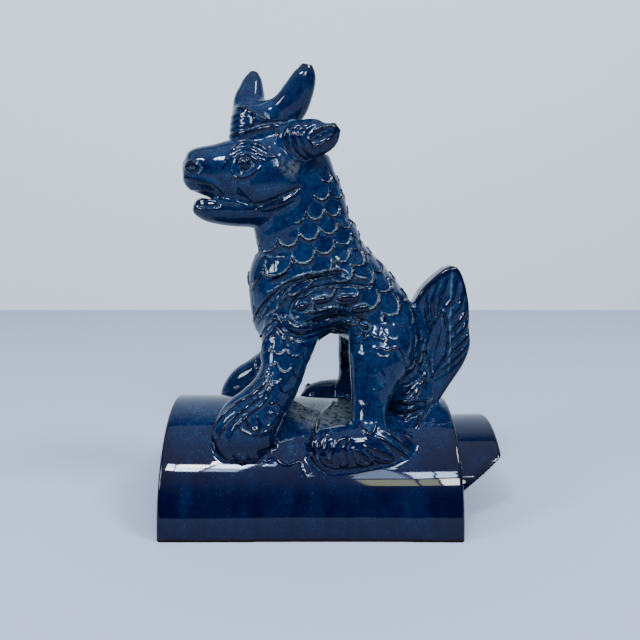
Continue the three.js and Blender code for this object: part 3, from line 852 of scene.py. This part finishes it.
# %% Where each point lies on its limb
BACK_LINE = [
    [-5, 0, 213], [-4, 0, 190], [0, 0, 167], [8, 0, 148], [24, 0, 130], [39, 0, 114], [50, 0, 98],
    [58, 0, 78],
]
SCALED_STATIONS = 6  # the first stations of a leg, down to which it carries scales
SCALE_SETS = {  # columns round the limb, millimetres from row to row, strength
    "trunk": (12, 10.8, 1.0),
    "foreleg": (8, 9.0, 0.30),
    "hind leg": (8, 9.5, 0.10),
}
SCALES_START = ([-30, -5, 8, 16], [162, 177, 202, 216])  # the neck is smooth above this height at x
EDGE_FLATTER = 0.55  # scales are pressed flatter along the spine and the breast
BARE_LIMB = 0.9  # scales fade out and end this far off the limb's own skin
SCALE_FADE = 0.6  # the share of that way over which they fade
NAPE_FADE = 4  # the way over which scales start under the smooth neck
LAST_ROW_GAP = 0.5  # scales end this far before the limb's end
LAST_ROW_FADE = 3


def along_limb(points, line):
    """For each point: the part across, the part facing the spine, and the way along the limb."""
    line = spline(line, 6)
    starts, spans = line[:-1], np.diff(line, axis=0)
    lengths = np.linalg.norm(spans, axis=1)
    before = np.cumsum(lengths) - lengths
    best = np.full(len(points), np.inf)
    place = np.zeros((len(points), 3))
    for start, span, length, travelled in zip(starts, spans, lengths, before):
        along = span / length
        side = unit(np.array([0, 1, 0]) - along * along[1])
        facing = np.cross(along, side)
        offset = points - start
        way = np.clip(offset @ along, 0, length)
        gap = offset - way[:, None] * along
        distance = (gap * gap).sum(1)
        nearer = distance < best
        best[nearer] = distance[nearer]
        found = np.stack([gap @ side, gap @ facing, travelled + way], 1)
        place[nearer] = found[nearer]
    return place


limbs = [("trunk", trunk.piece(), BACK_LINE)]
for side in BOTH_SIDES:
    for name, stations in zip(("foreleg", "hind leg"), leg_stations(side)):
        middle_line = [row[:3] for row in stations[:SCALED_STATIONS]]
        limbs.append((name, leg_skins[name, side], middle_line))

scale_place = np.zeros((len(points), 3))
scale_columns = np.full(len(points), 12.0)
scale_show = np.zeros(len(points))
nape = np.interp(points[:, 0], *SCALES_START)
below_nape = np.clip((nape - points[:, 2]) / NAPE_FADE, 0, 1)
for name, skin, line in limbs:
    columns, row, strength = SCALE_SETS[name]
    off = np.abs(sampled(points, *skin))
    show = np.clip((BARE_LIMB - off) / (SCALE_FADE * BARE_LIMB), 0, 1) * strength * below_nape
    better = np.flatnonzero(show > scale_show)
    place = along_limb(points[better], line)
    length = place[:, 2].max()
    ends = np.clip((length - LAST_ROW_GAP - place[:, 2]) / LAST_ROW_FADE, 0, 1)
    flatter = 1 - EDGE_FLATTER * np.abs(place[:, 1] / np.hypot(place[:, 0], place[:, 1])) ** 4
    scale_show[better] = show[better] * (ends * flatter)
    scale_place[better] = place / [1, 1, row]
    scale_columns[better] = columns
print("scales on", f"{(scale_show > 0).mean():.0%}", "of the skin")

# %% [markdown]
# ## Formulas as nodes
#
# Geometry Nodes and shaders share their arithmetic. A small class lets sockets take part in sums, so
# one formula for a scale serves both: it raises the clay here, and colours the rims of the scales
# in the glaze later.


# %% Sockets that take part in sums
def operator(operation):
    return lambda one, other: one.math(operation, other)


class Value:
    """A node's output, with the arithmetic of numbers."""

    __add__ = __radd__ = operator("ADD")
    __sub__ = operator("SUBTRACT")
    __mul__ = __rmul__ = operator("MULTIPLY")
    __truediv__ = operator("DIVIDE")
    __pow__ = operator("POWER")
    __mod__ = operator("FLOORED_MODULO")
    __gt__ = operator("GREATER_THAN")

    def __init__(self, nodes, socket):
        self.nodes = nodes
        self.socket = socket

    def math(self, operation, *others):
        numbers = dict(enumerate((self, *others)))
        return self.nodes.node("ShaderNodeMath", {"operation": operation}, numbers)

    def __neg__(self):
        return self * -1

    def __rsub__(self, other):
        return other + -self

    def clamp(self):
        """Held between 0 and 1."""
        return self.math("MAXIMUM", 0).math("MINIMUM", 1)

    def step(self, low, high):
        """Rises smoothly from 0 at `low` to 1 at `high`."""
        t = ((self - low) / (high - low)).clamp()
        return t * t * (3 - 2 * t)

    def bell(self, width):
        """Falls from 1 at 0 to nearly 0 at twice `width`."""
        return (-((self / width) ** 2)).math("EXPONENT")


class Nodes:
    """A node tree that is written as formulas."""

    def __init__(self, tree):
        self.tree = tree

    def node(self, kind, settings=None, inputs=None, output=0):
        """Any node: its type, its settings, then its sockets' values or links."""
        made = self.tree.nodes.new(kind)
        for name, value in (settings or {}).items():
            setattr(made, name, value)
        for name, value in (inputs or {}).items():
            if isinstance(value, Value):
                self.tree.links.new(value.socket, made.inputs[name])
            else:
                made.inputs[name].default_value = value
        return Value(self, made.outputs[output]) if made.outputs else None

    def vector(self, operation, *vectors, output=0):
        inputs = dict(enumerate(vectors))
        return self.node("ShaderNodeVectorMath", {"operation": operation}, inputs, output)

    def parts(self, vector):
        """The three numbers of a vector."""
        first = self.node("ShaderNodeSeparateXYZ", {}, {0: vector})
        return [Value(self, socket) for socket in first.socket.node.outputs]

    def mix(self, share, colour, other):
        """A colour between two others."""
        inputs = {0: share, 6: colour, 7: other}
        return self.node("ShaderNodeMix", {"data_type": "RGBA"}, inputs, output=2)


SCALE_SIDE = 0.86  # rows from a scale's root to its free edge, at its sides
SCALE_TONGUE = 0.66  # and how much farther the edge reaches in the middle


def scale_formula(place, columns):
    """Where a point lies in rows of overlapping scales: the share of the way from its scale's root to
    its free edge, the way left to that edge, the way past the edge of the scale above, all in rows, and
    the scale's column and row."""
    nodes = place.nodes
    across, facing, along = nodes.parts(place)
    around = across.math("ARCTAN2", facing) / (2 * math.pi) * columns
    upper = along.math("FLOOR") - 1

    def scale_in(row):
        shift = 0.5 * (row % 2)
        column = (around - shift).math("FLOOR")
        off_middle = around - shift - column - 0.5
        round_part = (1 - 4 * off_middle * off_middle).math("MAXIMUM", 0).math("SQRT")
        edge = SCALE_SIDE + SCALE_TONGUE * round_part
        return column % columns, edge, along - row

    column_above, edge_above, out_above = scale_in(upper)
    column_below, edge_below, out_below = scale_in(upper + 1)
    above = edge_above > out_above
    below = 1 - above
    edge = above * edge_above + below * edge_below
    out = above * out_above + below * out_below
    beyond = out_above - edge_above
    column = above * column_above + below * column_below
    row = upper + below
    return out / edge, edge - out, beyond, column, row


print("formulas ready")

# %% [markdown]
# ## Fish scales
#
# Dragon kin wear a fish's scales. A maker presses them in with a bent strip of bamboo, row by row from
# the nape down, so each scale has a tongue-shaped free edge and covers the roots of the next row. The
# node tree lifts every point by the formula: a slow rise from root to edge, a thin rim along the
# edge where the strip pushed the clay up, and a sharp drop beyond it.

# %% A node tree that lays scales
LAY_SCALES = {"Lift": 1.5 * MM, "Rim": 0.45 * MM, "Pit": 1.1 * MM, "Unevenness": 0.45, "Seed": 7}
RIM_WIDTH = 0.065  # in rows
PIT_WIDTH = 0.15


def scale_tree():
    """Moves points out by the shape of the scale that they lie on."""
    tree = bpy.data.node_groups.new("lay_scales", "GeometryNodeTree")
    sockets = tree.interface
    sockets.new_socket("Geometry", in_out="INPUT", socket_type="NodeSocketGeometry")
    for name, value in LAY_SCALES.items():
        kind = "NodeSocketInt" if isinstance(value, int) else "NodeSocketFloat"
        sockets.new_socket(name, in_out="INPUT", socket_type=kind)
    sockets.new_socket("Material", in_out="INPUT", socket_type="NodeSocketMaterial")
    sockets.new_socket("Geometry", in_out="OUTPUT", socket_type="NodeSocketGeometry")
    nodes = Nodes(tree)
    geometry = nodes.node("NodeGroupInput")
    given = {socket.name: Value(nodes, socket) for socket in geometry.socket.node.outputs}

    def attribute(name, kind):
        return nodes.node("GeometryNodeInputNamedAttribute", {"data_type": kind}, {"Name": name})

    place = attribute("scale_place", "FLOAT_VECTOR")
    columns = attribute("scale_columns", "FLOAT")
    show = attribute("scale_show", "FLOAT")
    out, left, beyond, column, row = scale_formula(place, columns)
    chance = nodes.node(
        "FunctionNodeRandomValue",
        {"data_type": "FLOAT"},
        {2: 0.0, 3: 1.0, "ID": column + 40 * row, "Seed": given["Seed"]},
        output=1,
    )
    lift = given["Lift"] * (1 - given["Unevenness"] * chance)
    rim = given["Rim"] * left.bell(RIM_WIDTH)
    pit = given["Pit"] * (beyond > 0) * beyond.bell(PIT_WIDTH)
    height = show * (lift * out + rim - pit)
    normal = nodes.node("GeometryNodeInputNormal")
    offset = nodes.node("ShaderNodeVectorMath", {"operation": "SCALE"}, {0: normal, "Scale": height})
    moved = nodes.node("GeometryNodeSetPosition", {}, {"Geometry": given["Geometry"], "Offset": offset})
    real = nodes.node("GeometryNodeRealizeInstances", {}, {"Geometry": moved})
    dressed = nodes.node("GeometryNodeSetMaterial", {}, {"Geometry": real, "Material": given["Material"]})
    nodes.node("NodeGroupOutput", {}, {"Geometry": dressed})
    return tree


MOST_TRIANGLES = 192000


def placed(name, data):
    """A new object in the scene."""
    thing = bpy.data.objects.new(name, data)
    bpy.context.collection.objects.link(thing)
    return thing


def put(mesh, name, numbers):
    """Keeps numbers, or rows of three, with the points of a mesh."""
    three = numbers.ndim == 2
    layer = mesh.attributes.new(name, "FLOAT_VECTOR" if three else "FLOAT", "POINT")
    layer.data.foreach_set("vector" if three else "value", numbers.astype(np.float32).ravel())


def apply_modifiers(thing):
    """Keeps what the modifiers make, and takes them away."""
    evaluated = thing.evaluated_get(bpy.context.evaluated_depsgraph_get())
    made = bpy.data.meshes.new_from_object(evaluated)
    thing.modifiers.clear()
    thing.data = made
    return made


mesh = bpy.data.meshes.new("ridge_beast")
mesh.from_pydata((points + [MIDDLE_X, 0, 0]) * MM, [], quads.tolist())
put(mesh, "scale_place", scale_place)
put(mesh, "scale_columns", scale_columns)
put(mesh, "scale_show", scale_show)
glazed = placed("ridge_beast", mesh)
material = bpy.data.materials.new("blue_glaze")

laying = glazed.modifiers.new("lay_scales", "NODES")
laying.node_group = scale_tree()
for item in laying.node_group.interface.items_tree:
    if item.name in LAY_SCALES:
        laying[item.identifier] = LAY_SCALES[item.name]
    if item.name == "Material":
        laying[item.identifier] = material
mesh = apply_modifiers(glazed)
print("scales laid on", len(mesh.vertices), "points")

# %% [markdown]
# ## Where the glaze runs to
#
# Molten glaze creeps off ridges and pools in hollows, so the glaze needs to know them. A smoothed
# copy of the skin lies above a hollow and below a ridge; its height over the real skin is kept with
# each point, once for tool marks and once for the hollows between limbs, which are painted darker as
# shade as well as for pooled glaze. The skin is then thinned to fewer triangles, which stay small
# where the relief is fine.


# %% Hollows, ridges and fewer triangles
def numbers_of(things, name, width, kind=np.float32):
    """One property of all points or edges, a row of `width` numbers to each."""
    found = np.empty(len(things) * width, kind)
    things.foreach_get(name, found)
    return found.reshape(-1, width)


def smoothed(places, edges, rounds):
    """Each point drawn `SMOOTHING` of the way to its neighbours' middle, `rounds` times."""
    count = len(places)
    one, other = edges.T
    friends = np.bincount(one, minlength=count) + np.bincount(other, minlength=count)
    for _ in range(rounds):
        middle = [
            np.bincount(one, values[other], count) + np.bincount(other, values[one], count)
            for values in places.T
        ]
        places = (1 - SMOOTHING) * places + SMOOTHING * np.stack(middle, 1) / friends[:, None]
    return places


SMOOTHING = 0.6
FINE_ROUNDS = 5
BROAD_ROUNDS = 45
places = numbers_of(mesh.vertices, "co", 3) / MM
normals = numbers_of(mesh.vertex_normals, "vector", 3)
edges = numbers_of(mesh.edges, "vertices", 2, np.int32)
fine = smoothed(places, edges, FINE_ROUNDS)
broad = smoothed(fine, edges, BROAD_ROUNDS)
put(mesh, "tool_mark", ((fine - places) * normals).sum(1))
put(mesh, "hollow", ((broad - places) * normals).sum(1))
fewer = glazed.modifiers.new("fewer", "DECIMATE")
fewer.ratio = min(1, MOST_TRIANGLES / (2 * len(quads)))
mesh = apply_modifiers(glazed)
mesh.shade_smooth()
print("triangles:", sum(len(face.vertices) - 2 for face in mesh.polygons))

# %% [markdown]
# ## The glaze
#
# Cobalt in a clear lead glaze is deep navy where it lies thick and blue-green where it lies thin. It
# breaks to pale grey-blue on sharp edges, specks mottle it, and grey patches are painted where it
# mirrors bright light. The barrel's lower flank is painted darker for the dark room it mirrors, and its
# coat, thickest there, ran down in drips and stopped just above the ground, where the bare clay shows.
# A clear coat over the colour gives the glassy reflections, and a weak bump its orange-peel skin.

# %% Glaze material
INK = (0.0, 0.0002, 0.003, 1)
NAVY = (0.0, 0.0004, 0.011, 1)
COBALT = (0.0001, 0.0036, 0.026, 1)
TEAL = (0.001, 0.022, 0.062, 1)
PALE = (0.045, 0.085, 0.12, 1)
# The next grey paints reflections of bright light on the glaze.
REFLECTED_GREY = (0.075, 0.085, 0.08, 1)
BARE_CLAY = (0.01, 0.008, 0.007, 1)
PAINTED_REFLECTIONS = [  # painted reflections, grey patches where the glaze mirrors bright light: centre in mm on the tile, radius and strength
    ((8, -14, 62), 26, 0.9),
    ((-14, -20, 204), 9, 0.6),
]
RIM_LINE = (HALF + MIDDLE_X - 1.3) * MM  # the barrel's worn edge at the spigot
RIM_SHINE = 0.05  # in rows: the pale line on a scale's edge, and the shade under it
PIT_SHADE = 0.13
DARK_FLANK_TOP = (0.040, 0.066)  # metres up, over which the lower flank's painted dark reflection and its thick coat fade out
BARE_FOOT = (0.0012, 0.0022)  # and over which the coat starts


def glaze(material):
    material.use_nodes = True
    material.node_tree.nodes.clear()
    nodes = Nodes(material.node_tree)
    where = nodes.node("ShaderNodeTexCoord", output="Object")
    x_place, _, height = nodes.parts(where)

    def cloud(grain, detail=3, roughness=0.55, place=where):
        """Noise between 0 and 1, its grain in millimetres."""
        inputs = {"Vector": place, "Scale": 1 / (grain * MM), "Detail": detail, "Roughness": roughness}
        return nodes.node("ShaderNodeTexNoise", {}, inputs)

    def kept(name):
        return nodes.node("ShaderNodeAttribute", {"attribute_name": name}, output="Fac")

    tool_mark = kept("tool_mark")
    hollow = kept("hollow")
    show = kept("scale_show")
    place = nodes.node("ShaderNodeAttribute", {"attribute_name": "scale_place"}, output="Vector")
    _, left, beyond, _, _ = scale_formula(place, kept("scale_columns"))
    rim = show * left.bell(RIM_SHINE)
    under = show * (beyond > 0) * beyond.bell(PIT_SHADE)

    mottle = cloud(7, 5, 0.65)
    speck = cloud(0.9, 2, 0.6)
    fleck = cloud(2.6, 3, 0.6)
    drip_place = nodes.vector("MULTIPLY", where, (1, 1, 0.12))
    drip = cloud(9, 2, 0.5, drip_place)
    # The lower flank is darker: painted shade for the dark room its glaze mirrors, along with its thick,
    # dripping coat.
    flank = 1 - height.step(*DARK_FLANK_TOP)

    thin = (mottle - 0.5) * 2.4 + (speck - 0.5) * 3.2 + (fleck - 0.5) * 1.8 + 0.36 - flank * 0.5
    colour = nodes.mix(thin.clamp(), COBALT, TEAL)
    # Navy where glaze pools in tool marks and hollows, plus painted shade in the broad hollows between
    # limbs and on the dark lower flank.
    pooled_and_shaded = (hollow * 0.8 + tool_mark * 2.5 + flank * (0.65 + (drip - 0.5) * 1.8)).clamp()
    colour = nodes.mix(pooled_and_shaded, colour, NAVY)
    # Ink where glaze pools in tool marks, and painted shadow under each scale's free edge.
    pit = (tool_mark * 4.5 + under * 0.9 - 0.2).clamp()
    colour = nodes.mix(pit, colour, INK)
    past_line = x_place.step(RIM_LINE, RIM_LINE + 1 * MM)
    past_edge = x_place.step(RIM_LINE + 1.5 * MM, RIM_LINE + 2 * MM)
    edge = past_line * (1 - past_edge)
    worn = -tool_mark * 3.6 - hollow * 0.3 + rim * 0.35 + edge * 0.9 - 0.5
    worn = worn + (fleck - 0.5) * 1.8 + (speck - 0.5) * 2.2
    colour = nodes.mix((worn * 0.9).clamp(), colour, PALE)
    # Painted reflections: flecked grey patches where the glaze mirrors bright light.
    for centre, radius, strength in PAINTED_REFLECTIONS:
        middle = tuple((c + MIDDLE_X * (axis == 0)) * MM for axis, c in enumerate(centre))
        away = nodes.vector("DISTANCE", where, middle, output="Value")
        reflection_patch = 1 - (away + (mottle - 0.5) * 0.02).step(radius * MM * 0.5, radius * MM)
        colour = nodes.mix(reflection_patch * fleck.step(0.3, 0.6) * strength, colour, REFLECTED_GREY)
    bare = 1 - (height + (mottle - 0.5) * 0.003).step(*BARE_FOOT)
    colour = nodes.mix(bare, colour, BARE_CLAY)

    peel = cloud(6, 2) + cloud(2.2, 2) * 0.42 + cloud(0.9, 1) * 0.10
    bump = nodes.node("ShaderNodeBump", {}, {"Height": peel, "Strength": 0.6, "Distance": 0.0006})
    shader = nodes.node(
        "ShaderNodeBsdfPrincipled",
        {},
        {
            "Base Color": colour,
            "Roughness": 0.28 + 0.5 * bare,
            "Normal": bump,
            "Coat Weight": 1 - bare,
            "Coat Roughness": 0.04,
            "Coat IOR": 1.34,
            "Specular IOR Level": 0.0,
        },
    )
    nodes.node("ShaderNodeOutputMaterial", {}, {"Surface": shader})


glaze(material)
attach(glazed, "root")
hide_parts("ridge_beast_tile")
print("glazed:", glazed.name)

# %% [markdown]
# ## Cloth, wall, windows and camera
#
# The piece stands on a pale lilac cloth before a pale wall. Its glaze mirrors tall windows, so the
# light comes from large panes high in front and a soft bright sky, and the rest of the room is
# darker.


# %% Stage
def plain_material(name, colour, roughness):
    made = bpy.data.materials.new(name)
    made.use_nodes = True
    shader = made.node_tree.nodes["Principled BSDF"]
    shader.inputs["Base Color"].default_value = colour
    shader.inputs["Roughness"].default_value = roughness
    return made


def sheet(name, corners, colour):
    made = bpy.data.meshes.new(name)
    made.from_pydata(corners, [], [(0, 1, 2, 3)])
    made.materials.append(plain_material(name, colour, 0.9))
    return placed(name, made)


WALL_Y = 0.89
FAR_OUT = 4  # the stage ends this far out and up
CLOTH = (0.33, 0.37, 0.47, 1)
PAINT = (0.66, 0.71, 0.70, 1)
foot_left, foot_right = (-FAR_OUT, WALL_Y, 0), (FAR_OUT, WALL_Y, 0)
floor_corners = [(-FAR_OUT, -FAR_OUT, 0), (FAR_OUT, -FAR_OUT, 0), foot_right, foot_left]
wall_corners = [foot_left, foot_right, (FAR_OUT, WALL_Y, FAR_OUT), (-FAR_OUT, WALL_Y, FAR_OUT)]
floor = sheet("floor", floor_corners, CLOTH)
wall = sheet("wall", wall_corners, PAINT)

# %% Windows and sky
WHITE = (1.0, 1.0, 1.0)
BLUE = (0.55, 0.7, 1.0)
LEAF = (0.16, 0.17, 0.10)
DIM = (0.12, 0.16, 0.25)
BRIGHT_PANES = [WHITE, BLUE, WHITE, BLUE, WHITE, WHITE]
WINDOWS = [  # towards (x, y, z), metres away, width, height, watts to a pane, panes from lower left
    ("left", (-0.22, -0.64, 0.74), 1.6, 0.40, 0.20, 4.5, [WHITE, BLUE, DIM, BLUE, WHITE, BLUE]),
    ("right", (0.20, -0.79, 0.60), 1.6, 0.44, 0.44, 4.5, [LEAF, LEAF, WHITE, DIM, BLUE, BLUE]),
    ("side", (-0.85, -0.45, 0.45), 2.0, 0.45, 0.70, 5.0, BRIGHT_PANES),
    ("far", (0.55, -0.30, 0.80), 2.0, 0.50, 0.50, 6.0, BRIGHT_PANES),
]
PANE_COLUMNS, PANE_ROWS = 3, 2
LIT = 0.86  # the share of a pane between its bars
for name, towards, away, width, tall, watts, panes in WINDOWS:
    direction = Vector(towards).normalized()
    turn = direction.to_track_quat("Z", "Y")
    middle = Vector((MIDDLE_X * MM, 0, 0.1)) + direction * away
    pane_width, pane_height = width / PANE_COLUMNS, tall / PANE_ROWS
    for k, tint in enumerate(panes):
        row, column = divmod(k, PANE_COLUMNS)
        data = bpy.data.lights.new(f"{name} pane {k}", "AREA")
        data.shape = "RECTANGLE"
        data.size = pane_width * LIT
        data.size_y = pane_height * LIT
        data.energy = watts
        data.color = tint
        lamp = placed(data.name, data)
        aside, up = (column - 1) * pane_width, (row - 0.5) * pane_height
        lamp.location = middle + turn @ Vector((aside, up, 0))
        lamp.rotation_euler = turn.to_euler()

world = bpy.data.worlds.new("studio")
bpy.context.scene.world = world
world.use_nodes = True
SKY = (0.80, 0.90, 1.0, 1)
ROOM = (0.05, 0.05, 0.06, 1)
sky_nodes = Nodes(world.node_tree)
world.node_tree.nodes.clear()
_, _, up = sky_nodes.parts(sky_nodes.node("ShaderNodeTexCoord", output="Generated"))
sky_colour = sky_nodes.mix(up.step(0.25, 0.95), ROOM, SKY)
sky = sky_nodes.node("ShaderNodeBackground", {}, {"Color": sky_colour, "Strength": 1.35})
sky_nodes.node("ShaderNodeOutputWorld", {}, {"Surface": sky})

# %% Camera
CAMERA_PLACE = (MIDDLE_X * MM, -0.4158, 0.1768)
CAMERA_DIP = 8.55  # degrees below the horizon
LENS, SENSOR = 38.25, 36  # millimetres
SIDE_SHIFT = 0.0148  # in widths of the sensor
camera_data = bpy.data.cameras.new("camera")
camera_data.lens = LENS
camera_data.sensor_width = SENSOR
camera_data.shift_x = SIDE_SHIFT
camera_data.clip_start = 0.01
camera = placed("camera", camera_data)
camera.location = CAMERA_PLACE
camera.rotation_euler = (math.radians(90 - CAMERA_DIP), 0, 0)
bpy.context.scene.camera = camera
